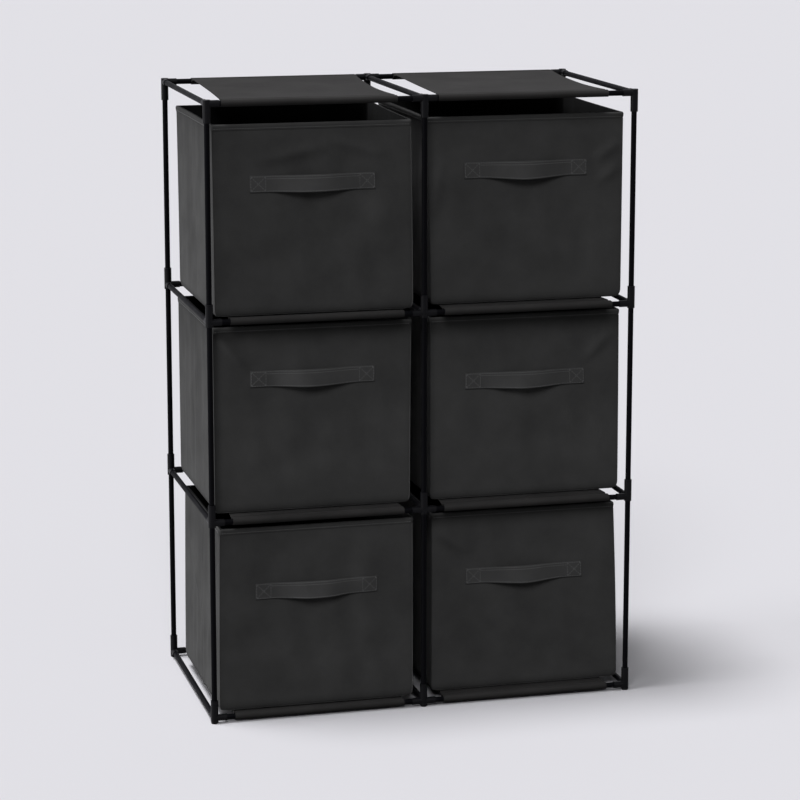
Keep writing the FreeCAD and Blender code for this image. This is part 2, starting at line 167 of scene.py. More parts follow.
class ShelfSizes(bpy.types.PropertyGroup):
    """Sizes of the cloth shelves."""

    cloth: length("Cloth", "Thickness of the shelf cloth", 0.9 * MM)
    seam: length("Seam", "Width of the cloth sewn under the shelf beside a pocket", 12 * MM)
    round_rail: angle("Round the rail", "How far the cloth goes round a rail before it slants back up", 225)
    groove: length("Groove", "Depth of the sewn line behind each rail", 2.4 * MM)
    groove_width: length("Groove width", "Half width of that line", 2.4 * MM)
    sag: length("Sag", "How far the middle of a shelf hangs below its rails", 2.2 * MM)
    wrinkle: length("Wrinkle", "Height of the soft wrinkles between the rails", 1.1 * MM)
    draw_in: length("Draw in", "How far the side edges draw in half way between the rails", 5 * MM)
    top_skew: length("Top skew", "How far the top shelves lie right at the back and left in front", 10 * MM)
    step: length("Step", "Spacing of the mesh across the cloth", 5 * MM)


class BoxSizes(bpy.types.PropertyGroup):
    """Sizes of the cloth boxes."""

    cover_cloth: length("Cover cloth", "Thickness of the outer cloth", 0.8 * MM)
    lining_cloth: length("Lining cloth", "Thickness of the inner cloth", 0.6 * MM)
    hem_height: length("Hem", "Height of the sewn band round the rim", 9 * MM)
    hem_roll: length("Hem roll", "How far the rim band bulges between its edges", 1 * MM)
    hem_proud: length("Hem proud", "How far the rim band stands out of the wall", 0.5 * MM)
    board: length("Board", "Thickness of the wall boards", 2 * MM)
    fold_gap: length("Fold gap", "Between the two halves of a side board", 1 * MM)
    corner: length("Corner", "Radius of the sewn corners", 2.5 * MM)
    base_corner: length("Base corner", "Radius of the base board's corners", 5 * MM)
    base_edge: length("Base edge", "Radius of the base board's edges", 1.2 * MM)
    base_play: length("Base play", "Spare room round the base board for lifting it", 4.5 * MM)
    welt: length("Welt", "How far the pinched corner seam stands out", 1.8 * MM)
    crease: length("Crease", "Depth of the fold line in the middle of each side", 0.5 * MM)
    crease_width: length("Crease width", "Half width of that fold line", 2.2 * MM)
    ripple: length("Ripple", "Height of the soft unevenness of the walls", 3.8 * MM)
    foot: length("Foot", "Height over which the walls curve in to the foot", 14 * MM)
    tuck: length("Tuck", "How far the walls curve in at the foot", 5 * MM)
    reach: length("Reach", "How far a wall's unevenness goes on into the floor", 40 * MM)
    pull: length("Pull", "Height of the pulled creases", 3.2 * MM)
    pull_width: length("Pull width", "Half width of the pulled creases", 7 * MM)
    step: length("Step", "Spacing of the mesh across the walls", 5 * MM)
    lean_left: each_box("Lean left", "How far the left wall leans in at the rim", LEAN_LEFT)
    lean_right: each_box("Lean right", "How far the right wall leans in at the rim", LEAN_RIGHT)
    splay: each_box("Splay", "How far the right wall spreads at the back of the rim", SPLAY)
    rim_bow: each_box("Rim bow", "How far the side walls bow in at the middle of the rim", RIM_BOW)
    base_shift: each_box("Base shift", "How far the loose base board lies to the right", BASE_SHIFT)


class StrapSizes(bpy.types.PropertyGroup):
    """Sizes of the handles."""

    thick: length("Thickness", "Thickness of the folded strap", 1.6 * MM)
    sewn: length("Sewn end", "Stretch at each end that is sewn flat", 24 * MM)
    bow: length("Bow", "How far the middle stands off the wall", 9.5 * MM)
    roll: length("Roll", "How much further the lower edge stands off than the middle", 3 * MM)
    dip: each_box("Dip", "How far the lower edge hangs below its ends", STRAP_DIP)
    clear: length("Clear", "Room between the strap's back and the cloth where it is sewn", 0.05 * MM)
    step: length("Step", "Spacing of the mesh along the strap", 2.5 * MM)


class StitchSizes(bpy.types.PropertyGroup):
    """Sizes of the stitching."""

    long: length("Stitch", "Length of one stitch", 2.9 * MM)
    pitch: length("Pitch", "From one stitch to the next", 3.8 * MM)
    thread: length("Thread", "Width of the thread", 0.8 * MM)
    hem_drop: length("Hem line", "From the rim down to the hem's stitch line", 6.2 * MM)
    edge: length("Edge line", "From a strap's edge to its stitch line", 1.7 * MM)
    second: length("Second line", "From a strap's upper edge to its second stitch line", 4.8 * MM)
    margin: length("Margin", "From a row's end to the edge of the cloth", 3 * MM)
    sunk: length("Sunk", "How far a stitch's middle lies over the cloth", 0.1 * MM)
    flatness: number("Flatness", "Height of a stitch as a share of its width", 0.8)
    sides: IntProperty(name="Sides", description="Sides of the thread's section", default=6, min=4, max=12)


class StageSizes(bpy.types.PropertyGroup):
    """Camera and light."""

    floor: length("Floor", "Width of the floor", 120)
    camera: FloatVectorProperty(
        name="Camera",
        description="Place of the camera",
        default=(-1.026, -3.95, 1.298),
        subtype="XYZ",
        unit="LENGTH",
    )
    azimuth: angle("Azimuth", "Turn of the camera about the rack", -14.67)
    elevation: angle("Elevation", "Height of the camera's view", 11.14)
    lens: number("Lens", "Focal length in millimetres", 123.3)
    sensor: number("Sensor", "Width of the sensor in millimetres", 36)
    shift: number("Shift", "Upright shift of the lens", -0.05)
    key: number("Key", "Strength of the light above", 1.97)
    key_turn: angle("Key turn", "Turn of the light above from the front to the left", 102)
    key_height: angle("Key height", "Height of the light above", 78)
    key_spread: angle("Key spread", "Softness of the light above", 17)
    side: number("Side", "Strength of the light from the side", 2.1)
    side_turn: angle("Side turn", "Turn of the light from the side from the front to the left", 88)
    side_height: angle("Side height", "Height of the light from the side", 6)
    side_spread: angle("Side spread", "Softness of the light from the side", 18)
    fill: number("Fill", "Strength of the light from the front", 0.97)
    fill_turn: angle("Fill turn", "Turn of the light from the front to the left", 20)
    fill_height: angle("Fill height", "Height of the light from the front", 42)
    fill_spread: angle("Fill spread", "Softness of the light from the front", 25)
    sky: number("Sky", "Strength of the even studio light", 0.1)


GROUPS = {
    "rack_colours": RackColours,
    "rack_shelf": ShelfSizes,
    "rack_box": BoxSizes,
    "rack_strap": StrapSizes,
    "rack_stitch": StitchSizes,
    "rack_stage": StageSizes,
}


# Modelling by hand, in small steps


def start_fresh():
    """Leaves edit mode with nothing selected."""
    if bpy.context.mode != "OBJECT":
        bpy.ops.object.mode_set(mode="OBJECT")
    bpy.ops.object.select_all(action="DESELECT")


def make_active(thing):
    """Selects one piece alone."""
    start_fresh()
    thing.select_set(True)
    bpy.context.view_layer.objects.active = thing


def named(name):
    """Names the primitive that was just added."""
    thing = bpy.context.object
    thing.name = name
    thing.data.name = name
    return thing


def set_in_mesh(thing):
    """Moves a piece's place, turn and scale into its mesh."""
    make_active(thing)
    bpy.ops.object.transform_apply(location=True, rotation=True, scale=True)
    return thing


def block(name, low, high):
    """Adds a block between two corners."""
    start_fresh()
    low, high = Vector(low), Vector(high)
    bpy.ops.mesh.primitive_cube_add(size=1, location=(low + high) / 2)
    thing = named(name)
    thing.scale = high - low
    return set_in_mesh(thing)


def choose(thing, kind, test):
    """Enters edit mode with what passes a test selected.

    An edge is tested by its two ends and a face by its middle and normal.
    """
    make_active(thing)
    mesh = thing.data
    for items in (mesh.vertices, mesh.edges, mesh.polygons):
        items.foreach_set("select", [False] * len(items))
    if kind == "EDGE":
        for edge in mesh.edges:
            edge.select = test(*(mesh.vertices[end].co for end in edge.vertices))
            for end in edge.vertices:
                mesh.vertices[end].select |= edge.select
    else:
        for face in mesh.polygons:
            face.select = test(face.center, face.normal)
    bpy.context.tool_settings.mesh_select_mode = [kind == each for each in ("VERT", "EDGE", "FACE")]
    bpy.ops.object.mode_set(mode="EDIT")


def choose_all(thing):
    """Enters edit mode with the whole piece selected."""
    choose(thing, "FACE", lambda middle, normal: True)


def apply_modifier(thing, kind, **settings):
    """Adds a modifier with these settings and applies it."""
    make_active(thing)
    bpy.ops.object.modifier_add(type=kind)
    modifier = thing.modifiers[-1]
    for name, setting in settings.items():
        setattr(modifier, name, setting)
    bpy.ops.object.modifier_apply(modifier=modifier.name)


def cut_across(thing, axis, places):
    """Cuts the mesh right through at each place along an axis."""
    choose_all(thing)
    along = Vector([axis == each for each in "XYZ"])
    for place in places:
        bpy.ops.mesh.select_all(action="SELECT")
        bpy.ops.mesh.bisect(plane_co=along * place, plane_no=along)
    start_fresh()


def spaced(low, high, step):
    """Places from low to high, both included, about a step apart."""
    count = max(1, round((high - low) / step))
    return [low + (high - low) * index / count for index in range(count + 1)]


def unwrap(thing):
    """Gives a piece a map in metres, laid on from the six sides."""
    choose_all(thing)
    bpy.ops.uv.cube_project(cube_size=1, correct_aspect=False)
    start_fresh()


def smooth(thing):
    """Shades smoothly over all but sharp edges."""
    make_active(thing)
    bpy.ops.object.shade_smooth_by_angle(angle=SMOOTH_UNDER)


def reshape(thing, move):
    """Moves every vertex to where a function of its place and normal says."""
    mesh = thing.data
    normals = [vertex.normal.copy() for vertex in mesh.vertices]
    for vertex, normal in zip(mesh.vertices, normals):
        vertex.co = move(vertex.co.copy(), normal)
    mesh.update()


def waves(across, along, seed):
    """Smooth noise of a piece of cloth, between -1 and 1."""
    return noise.noise(Vector((across, along, seed)))


def joined(pieces, name):
    """Joins pieces into one mesh."""
    make_active(pieces[0])
    for piece in pieces[1:]:
        piece.select_set(True)
    bpy.ops.object.join()
    pieces[0].name = name
    pieces[0].data.name = name
    return pieces[0]


def copied(pattern, name):
    """Copies a pattern with a mesh of its own."""
    make_active(pattern)
    bpy.ops.object.duplicate(linked=False)
    return named(name)


def discard(thing):
    """Removes a pattern that has been copied."""
    make_active(thing)
    bpy.ops.object.delete()


def shift(thing, offset):
    """Moves a piece's mesh, so that its object stays at the origin."""
    thing.location = offset
    return set_in_mesh(thing)


def give_finish(thing, material):
    """Gives a piece one material all over."""
    thing.data.materials.clear()
    thing.data.materials.append(material)


def finished(thing, body, slot, material, *nodes):
    """Gives a piece its finish and its body, and hides the nodes that it stands for."""
    give_finish(thing, material)
    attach(thing, body)
    if nodes:
        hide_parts(*nodes)
    return thing


# Finishes


class Finish:
    """A material's node tree, put together node by node."""

    def __init__(self, name):
        self.material = bpy.data.materials.new(name)
        self.material.use_nodes = True
        self.tree = self.material.node_tree
        self.shader = self.tree.nodes["Principled BSDF"]
        self.coords = self.add("ShaderNodeTexCoord")

    def add(self, kind, settings=None, **inputs):
        """Adds a node; an input is a plain value or another node's socket."""
        node = self.tree.nodes.new(kind)
        for name, setting in (settings or {}).items():
            setattr(node, name, setting)
        for name, given in inputs.items():
            self.feed(node, name.replace("_", " "), given)
        return node

    def feed(self, node, name, given):
        """Sets or links one input of a node, by its name or number."""
        socket = node.inputs[name]
        if isinstance(given, bpy.types.NodeSocket):
            self.tree.links.new(given, socket)
        else:
            socket.default_value = given

    def set(self, **inputs):
        """Sets inputs of the shader."""
        for name, given in inputs.items():
            self.feed(self.shader, name.replace("_", " "), given)

    def noise(self, scale, detail=2.0, roughness=0.5, coords=None):
        """Noise between 0 and 1 at a number of lumps per metre."""
        source = coords or self.coords.outputs["Object"]
        node = self.add("ShaderNodeTexNoise", Vector=source, Scale=scale, Detail=detail, Roughness=roughness)
        return node.outputs["Fac"]

    def spread(self, fac, low, high, to_low=0.0, to_high=1.0):
        """Stretches part of a range over another."""
        node = self.add("ShaderNodeMapRange", Value=fac)
        for name, given in (("From Min", low), ("From Max", high), ("To Min", to_low), ("To Max", to_high)):
            node.inputs[name].default_value = given
        return node.outputs["Result"]

    def math(self, operation, first, second):
        """One sum of two numbers."""
        node = self.add("ShaderNodeMath", {"operation": operation})
        self.feed(node, 0, first)
        self.feed(node, 1, second)
        return node.outputs["Value"]

    def mixed(self, first, second, fac):
        """Blends two colours."""
        node = self.add("ShaderNodeMix", {"data_type": "RGBA"})
        self.feed(node, MIX_SHARE, fac)
        self.feed(node, MIX_FIRST, (*first, 1))
        self.feed(node, MIX_SECOND, (*second, 1))
        return node.outputs[MIX_COLOUR]

    def shades(self, tone, darker, lighter, fac):
        """Blends a darker and a lighter shade of one colour."""
        return self.mixed([part * darker for part in tone], [part * lighter for part in tone], fac)

    def bump(self, height, strength, distance, below=None):
        """Raises the surface by a height, over an earlier bump."""
        node = self.add("ShaderNodeBump", Height=height, Strength=strength, Distance=distance)
        if below:
            self.feed(node, "Normal", below)
        return node.outputs["Normal"]


def non_woven(name, tone, mottle=0.2, sheen=0.03, emboss=0.35, painted_fold_shade=0.0):
    """Spun-bonded cloth: pressed with a grid of small dots, fibrous close up and cloudy from a step away.

    Sides that fold up with the box get upright streaks of painted light and shade, in place of the shading
    of their folds.
    """
    finish = Finish(name)
    slanted = finish.add(
        "ShaderNodeMapping", Vector=finish.coords.outputs["UV"], Rotation=(0, 0, math.radians(45))
    )
    dots = finish.add(
        "ShaderNodeTexVoronoi",
        {"voronoi_dimensions": "2D"},
        Vector=slanted.outputs["Vector"],
        Scale=620.0,
        Randomness=0.0,
    )
    pressed = finish.spread(dots.outputs["Distance"], 0.18, 0.34)
    fibres = finish.noise(1500.0, detail=3.0, roughness=0.65)
    clouds = finish.noise(14.0, detail=4.0, roughness=0.6)
    blend = finish.math("ADD", finish.math("MULTIPLY", clouds, 0.7), finish.math("MULTIPLY", fibres, 0.3))
    # Upright streaks of painted light and shade on the sides, in place of the shading of folds
    if painted_fold_shade:
        upright = finish.add(
            "ShaderNodeMapping", Vector=finish.coords.outputs["Object"], Scale=(0, 34, 2.5)
        )
        painted_fold_streaks = finish.noise(1.0, detail=3.0, roughness=0.55, coords=upright.outputs["Vector"])
        blend = finish.math("ADD", blend, finish.spread(painted_fold_streaks, *NOISE_RANGE, -painted_fold_shade, painted_fold_shade))
    level = finish.spread(blend, *NOISE_RANGE)
    finish.set(
        Base_Color=finish.shades(tone, 1 - mottle, 1 + mottle, level),
        Roughness=finish.spread(fibres, *NOISE_RANGE, 0.78, 0.9),
        Specular_IOR_Level=0.02,
        Sheen_Weight=sheen,
        Sheen_Roughness=0.45,
        Sheen_Tint=(0.9, 0.9, 0.92, 1),
    )
    fuzz = finish.bump(fibres, strength=0.25, distance=0.15 * MM)
    finish.set(Normal=finish.bump(pressed, strength=emboss, distance=0.12 * MM, below=fuzz))
    return finish.material


def powder_coat(name, tone):
    """Satin black powder coat with a fine orange peel and a little dust."""
    finish = Finish(name)
    peel = finish.noise(900.0)
    dust = finish.noise(35.0, detail=4.0, roughness=0.6)
    finish.set(
        Base_Color=finish.shades(tone, 0.85, 1.25, dust),
        Roughness=finish.spread(dust, *NOISE_RANGE, 0.42, 0.55),
        Specular_IOR_Level=0.02,
        Normal=finish.bump(peel, strength=0.12, distance=0.1 * MM),
    )
    return finish.material


def moulded_plastic(name, tone):
    """Black moulded plastic with a fine spark-eroded grain."""
    finish = Finish(name)
    grain = finish.noise(2600.0, roughness=0.6)
    flow = finish.noise(60.0, detail=3.0)
    finish.set(
        Base_Color=finish.shades(tone, 0.85, 1.2, flow),
        Roughness=finish.spread(flow, *NOISE_RANGE, 0.36, 0.48),
        Specular_IOR_Level=0.08,
        Normal=finish.bump(grain, strength=0.2, distance=0.06 * MM),
    )
    return finish.material


def sewing_thread(name, tone):
    """Twisted polyester thread."""
    finish = Finish(name)
    twist = finish.noise(2200.0)
    finish.set(
        Base_Color=finish.shades(tone, 0.75, 1.25, twist),
        Roughness=0.62,
        Specular_IOR_Level=0.4,
        Normal=finish.bump(twist, strength=0.4, distance=0.1 * MM),
    )
    return finish.material


def grey_board(name, tone):
    """Pressed paper board with flecks."""
    finish = Finish(name)
    flecks = finish.noise(700.0, detail=4.0, roughness=0.7)
    finish.set(
        Base_Color=finish.shades(tone, 0.75, 1.2, flecks),
        Roughness=0.9,
        Normal=finish.bump(flecks, strength=0.3, distance=0.1 * MM),
    )
    return finish.material


# Cloth shelves


class ShelfForm:
    """Width and depth of a shelf about its rails' axes, and the way its cloth lies on them."""

    def __init__(self, sizes):
        sheet = box_size("shelf_bottom_left")
        self.sizes = sizes
        self.top = sheet.z / 2
        self.wrap = self.top - sizes.cloth / 2
        self.half_width = sheet.x / 2
        self.half_depth = sheet.y / 2 - sheet.z / 2
        self.rail = box_size("width_rails_bottom").z

    def slant(self):
        """How far in and up the cloth slants from the lower side of a rail to the seam under the shelf."""
        lean = math.pi * 1.5 - self.sizes.round_rail
        upward = self.wrap - self.sizes.cloth * LAYERED + self.wrap * math.sin(lean)
        return upward * math.tan(lean), upward

    def seam(self):
        """Distance from the middle of the shelf at which each pocket is sewn shut."""
        inward, upward = self.slant()
        behind = inward - self.wrap * math.sin(self.sizes.round_rail) + self.sizes.groove_width / 2
        return self.half_depth - behind

    def hang(self, skew, seed):
        """Function that lets the cloth sag, sinks its seams, draws its side edges in and slides it askew."""
        sizes = self.sizes
        seam = self.seam()

        def move(place, normal):
            across = max(0.0, 1 - (place.y / (self.half_depth - self.rail)) ** 2)
            pull = waves(place.x * 26, place.y * 5, seed)
            lump = waves(place.x * 9, place.y * 9, seed + 40)
            place.z -= across * (sizes.sag + sizes.wrinkle * (0.5 + 0.35 * pull + 0.4 * lump))
            off = (abs(place.y) - seam) / sizes.groove_width
            place.z -= sizes.groove * math.exp(-off * off)
            place.x -= across * sizes.draw_in * (place.x / self.half_width) ** 3
            place.x += skew * place.y / self.half_depth
            return place

        return move


def model_shelf(form):
    """One shelf about its rail axes: a sheet whose ends wrap round the rails and are sewn back under it."""
    sizes = form.sizes
    start_fresh()
    bpy.ops.mesh.primitive_grid_add(
        x_subdivisions=round(2 * form.half_width / sizes.step),
        y_subdivisions=round(2 * form.half_depth / sizes.step),
        size=2,
        location=(0, 0, form.wrap),
    )
    shelf = named("shelf")
    shelf.scale = (form.half_width, form.half_depth, 1)
    set_in_mesh(shelf)
    inward, upward = form.slant()
    for side in (-1, 1):
        edge = side * form.half_depth
        choose(shelf, "EDGE", lambda a, b: abs(a.y - edge) < TOUCH and abs(b.y - edge) < TOUCH)
        bpy.ops.mesh.spin(
            steps=POCKET_STEPS,
            angle=sizes.round_rail * side,
            center=(0, edge, 0),
            axis=(1, 0, 0),
            use_auto_merge=False,
        )
        for step in ((0, -side * inward, upward), (0, -side * sizes.seam, 0)):
            bpy.ops.mesh.extrude_region_move(TRANSFORM_OT_translate={"value": step})
        start_fresh()
    for share in GROOVE_CUTS:
        place = form.seam() + share * sizes.groove_width
        cut_across(shelf, "Y", (-place, place))
    apply_modifier(shelf, "SOLIDIFY", thickness=sizes.cloth, offset=0)
    choose_all(shelf)
    bpy.ops.mesh.normals_make_consistent(inside=False)
    unwrap(shelf)
    return shelf


def model_seams(form, stitch):
    """Both pockets' rows of stitches on one shelf."""
    rows = []
    for side in (-1, 1):
        row = stitch_row(stitch, 2 * (form.half_width - stitch.margin))
        rows.append(shift(row, (0, side * form.seam(), form.top)))
    return joined(rows, "shelf_seams")


class RACK_OT_shelves(bpy.types.Operator):
    """Makes the eight cloth shelves and their pocket stitching."""

    bl_idname = "rack.shelves"
    bl_label = "Make shelves"

    def execute(self, context):
        scene = context.scene
        form = ShelfForm(scene.rack_shelf)
        cloth = non_woven("shelf_cloth", scene.rack_colours.shelf, sheen=0.025)
        thread = sewing_thread("shelf_thread", scene.rack_colours.thread)
        pattern = model_shelf(form)
        seams = model_seams(form, scene.rack_stitch)
        for count, (level, bay) in enumerate((level, bay) for level in LEVELS for bay in BAYS):
            node = f"shelf_{level}_{bay}"
            low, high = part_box(node)
            skew = form.sizes.top_skew if level == "top" else 0
            shelf = copied(pattern, f"{node}_cloth")
            thread_rows = copied(seams, f"{node}_stitching")
            for piece in (shelf, thread_rows):
                reshape(piece, form.hang(skew, count * SHELF_SEED))
                shift(piece, (low + high) / 2)
                smooth(piece)
            finished(shelf, "frame", "shelf_cloth", cloth, node)
            finished(thread_rows, "frame", "shelf_cloth", thread)
        discard(pattern)
        discard(seams)
        return {"FINISHED"}


# Stitching


def stitch_row(sizes, span):
    """A straight row of stitches along X on a face that looks up, centred on the origin."""
    start_fresh()
    bpy.ops.mesh.primitive_uv_sphere_add(segments=sizes.sides, ring_count=STITCH_RINGS, radius=0.5)
    row = named("stitch_row")
    row.rotation_euler = (0, math.radians(90), 0)
    set_in_mesh(row)
    row.scale = (sizes.long, sizes.thread, sizes.thread * sizes.flatness)
    set_in_mesh(row)
    count = max(2, round(span / sizes.pitch))
    apply_modifier(
        row,
        "ARRAY",
        count=count,
        use_relative_offset=False,
        use_constant_offset=True,
        constant_offset_displace=(span / count, 0, 0),
    )
    return shift(row, ((span / count - span) / 2, 0, 0))


def turned(thing, x=0, y=0, z=0):
    """Turns a piece about the origin, in degrees."""
    thing.rotation_euler = Euler((math.radians(x), math.radians(y), math.radians(z)))
    return set_in_mesh(thing)


# Cloth boxes


class BoxForm:
    """Width, depth and height of a box, and the way its cloth settles."""

    def __init__(self, sizes):
        outside = box_size("box_bottom_left_cover")
        self.width = outside.x - 2 * sizes.hem_proud
        self.depth = outside.y - 2 * sizes.hem_proud
        self.height = outside.z
        self.sizes = sizes

    def place(self, tier, bay):
        """Middle of the foot of the front wall."""
        low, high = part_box(f"box_{tier}_{bay}_cover")
        return Vector(((low.x + high.x) / 2, low.y + self.sizes.hem_proud, low.z))

    def handle_height(self, tier, bay):
        """Height of the middle of a box's handle over its foot."""
        strap_low, strap_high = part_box(f"box_{tier}_{bay}_handle")
        return (strap_low.z + strap_high.z) / 2 - self.place(tier, bay).z

    def hem_out(self, z):
        """How far the face of the rolled rim band stands out of the wall at a height."""
        sizes = self.sizes
        share = min(max((self.height - z) / sizes.hem_height, 0), 1)
        shoulder = min(1, share / HEM_SHOULDER)
        return sizes.hem_proud * shoulder + sizes.hem_roll * math.sin(math.pi * share**HEM_FULLNESS)

    def pulled(self, index, wall, along, up):
        """Height of the pulled creases at a place on a wall of a box."""
        half = (self.depth if wall == "left" else self.width) / 2
        spot = Vector((along * half, up * self.height))
        rise = 0.0
        for box, side, *ends in CREASES:
            if (box, side) == (index, wall):
                first, last = (Vector((a * half, b * self.height)) for a, b in ends)
                nearest, share = geometry.intersect_point_line(spot, first, last)
                off = (spot - nearest).length / self.sizes.pull_width
                rise += self.sizes.pull * max(0.0, 1 - (2 * share - 1) ** 2) * math.exp(-off * off)
        return rise

    def ripple(self, along, up, seed, upright):
        """Soft unevenness of a wall, from its middle line and its height, still at its borders.

        The folds run slantwise, or upright on a wall that is pulled sideways.
        """
        edge = max(0.0, 1 - along**4) * max(0.0, 1 - (2 * up - 1) ** 4)
        broad = waves(along * 1.7, up * 1.9, seed)
        course = (along * 7, up * 0.9) if upright else (along * 4.6 + up * 2.4, up * 3 - along)
        folds = waves(*course, seed + 9)
        dents = waves(along * 3.5 - up * 2, up * 7 + along * 2, seed + 23)
        return self.sizes.ripple * edge * (0.4 * broad + 0.35 * folds + 0.45 * dents - 0.3)

    def settle(self, index, outside):
        """Function that moves a place on a new box to where it lies on a used one.

        Only the cloth outside has pulled creases.
        """
        sizes = self.sizes
        lean_left, lean_right = sizes.lean_left[index], sizes.lean_right[index]
        splay, bow = sizes.splay[index], sizes.rim_bow[index]
        reach = sizes.reach
        seed = index * BOX_SEED

        def move(place, normal):
            across = place.x / (self.width / 2)
            back = place.y / self.depth
            up = min(max(place.z / self.height, 0), 1)
            near_front = max(0.0, 1 - max(place.y, 0) / reach)
            near_back = max(0.0, 1 - max(self.depth - place.y, 0) / reach)
            near_left = max(0.0, 1 - max(place.x + self.width / 2, 0) / reach)
            near_right = max(0.0, 1 - max(self.width / 2 - place.x, 0) / reach)
            out_front = near_front and near_front * self.ripple(across, up, seed, False)
            out_back = near_back and near_back * self.ripple(across, up, seed + 7, False)
            out_left = near_left and near_left * self.ripple(2 * back - 1, up, seed + 13, True)
            out_right = near_right and near_right * self.ripple(2 * back - 1, up, seed + 19, True)
            if outside:
                out_front += near_front * self.pulled(index, "front", across, up)
                out_left += near_left * self.pulled(index, "left", 2 * back - 1, up)
            bowed = bow * max(0.0, 1 - (2 * back - 1) ** 2) * up**BOW_POWER
            leaning = up**LEAN_POWER
            left_in = near_left * bowed + lean_left * leaning * (1 - across) / 2
            right_in = near_right * bowed + (lean_right - splay * back) * leaning * (1 + across) / 2
            low = min(1.0, max(0.0, 1 - place.z / sizes.foot))
            tuck = sizes.tuck * (1 - math.sqrt(1 - low * low))
            place.x += left_in - right_in - out_left + out_right + tuck * (near_left - near_right)
            place.y += out_back - out_front + tuck * (near_front - near_back)
            return place

        return move

    def outward(self, middle, normal):
        """Whether a wall's face looks away from the box."""
        away = middle - Vector((0, self.depth / 2, self.height / 2))
        return abs(normal.z) < 0.5 and away.x * normal.x + away.y * normal.y > 0

    def grid(self, thing, inset):
        """Cuts a piece's walls and floor into a grid."""
        step = self.sizes.step
        cut_across(thing, "X", spaced(-self.width / 2 + inset, self.width / 2 - inset, step))
        cut_across(thing, "Y", spaced(inset, self.depth - inset, step))
        cut_across(thing, "Z", spaced(inset, self.height - self.sizes.hem_height, step))


def open_block(name, low, high, corner, segments):
    """A block without its top, with rounded corners."""
    thing = block(name, low, high)
    choose(thing, "FACE", lambda middle, normal: normal.z > 0.5)
    bpy.ops.mesh.delete(type="FACE")
    half_way = (low[2] + high[2]) / 2
    choose(thing, "EDGE", lambda a, b: min(a.z, b.z) < half_way)
    bpy.ops.mesh.bevel(offset=corner, segments=segments, profile=0.5, affect="EDGES")
    start_fresh()
    return thing


def model_cover(form):
    """Outer cloth: sewn corners with a pinched seam, a fold line in each side and a band round the rim."""
    sizes = form.sizes
    half = form.width / 2
    cover = open_block("cover", (-half, 0, 0), (half, form.depth, form.height), sizes.corner, segments=6)
    form.grid(cover, sizes.corner)
    fold = form.depth / 2
    cut_across(cover, "Y", [fold + sizes.crease_width * share for share in FOLD_CUTS])
    cut_across(cover, "Z", [form.height - sizes.hem_height * share for share in HEM_CUTS])
    cut_across(cover, "Z", [sizes.foot * share for share in FOOT_CUTS])
    apply_modifier(cover, "SOLIDIFY", thickness=sizes.cover_cloth, offset=-1)
    band = form.height - sizes.hem_height
    choose(cover, "FACE", lambda middle, normal: middle.z > band and form.outward(middle, normal))
    bpy.ops.mesh.extrude_region_shrink_fatten(TRANSFORM_OT_shrink_fatten={"value": sizes.hem_proud})
    start_fresh()

    def ridge(rise, run):
        """Height of the seam's ridge over a rounded edge, highest half way round it."""
        off = (math.atan2(rise, run) - math.pi / 4) / WELT_ARC
        return sizes.welt * math.exp(-off * off)

    def pinch(place, normal):
        """Raises the corner seams, rolls the rim band and sinks the fold lines."""
        right, back = math.copysign(1, place.x), math.copysign(1, place.y - fold)
        past_x = abs(place.x) - (half - sizes.corner)
        past_y = abs(place.y - fold) - (fold - sizes.corner)
        past_z = sizes.corner - place.z
        away = Vector((right * max(past_x, 0), back * max(past_y, 0), 0))
        if away.length > sizes.corner + sizes.hem_proud / 2:
            place += away.normalized() * (form.hem_out(place.z) - sizes.hem_proud)
        elif past_x > 0 and past_y > 0:
            out = ridge(past_y, past_x) * min(1, place.z / (3 * sizes.corner))
            place.x += right * out * WELT_ON_SIDES
            place.y += back * out
        elif past_x > 0 and past_z > 0:
            place.x += right * ridge(past_z, past_x) * WELT_ON_SIDES
        elif past_y > 0 and past_z > 0:
            place.y += back * ridge(past_z, past_y)
        elif past_x > 0:
            off = (place.y - fold) / sizes.crease_width
            place.x -= right * sizes.crease * math.exp(-off * off)
        return place

    reshape(cover, pinch)
    unwrap(cover)
    return cover


def model_lining(form):
    """Inner cloth, turned out over the tops of the boards."""
    sizes = form.sizes
    brim = sizes.cover_cloth
    inset = brim + sizes.board + sizes.lining_cloth
    half = form.width / 2 - inset
    low = (-half, inset, sizes.cover_cloth + sizes.lining_cloth)
    high = (half, form.depth - inset, form.height)
    lining = open_block("lining", low, high, sizes.corner, segments=3)
    form.grid(lining, inset + sizes.corner)
    choose(lining, "EDGE", lambda a, b: min(a.z, b.z) > form.height - TOUCH)
    bpy.ops.mesh.extrude_region()
    start_fresh()
    middle = form.depth / 2
    for vertex in lining.data.vertices:
        if vertex.select:
            spot = vertex.co
            if abs(spot.x) > half - sizes.corner:
                spot.x += math.copysign(inset - brim, spot.x)
            if abs(spot.y - middle) > middle - inset - sizes.corner:
                spot.y += math.copysign(inset - brim, spot.y - middle)
    choose_all(lining)
    bpy.ops.mesh.flip_normals()
    apply_modifier(lining, "SOLIDIFY", thickness=sizes.lining_cloth, offset=-1)
    unwrap(lining)
    return lining


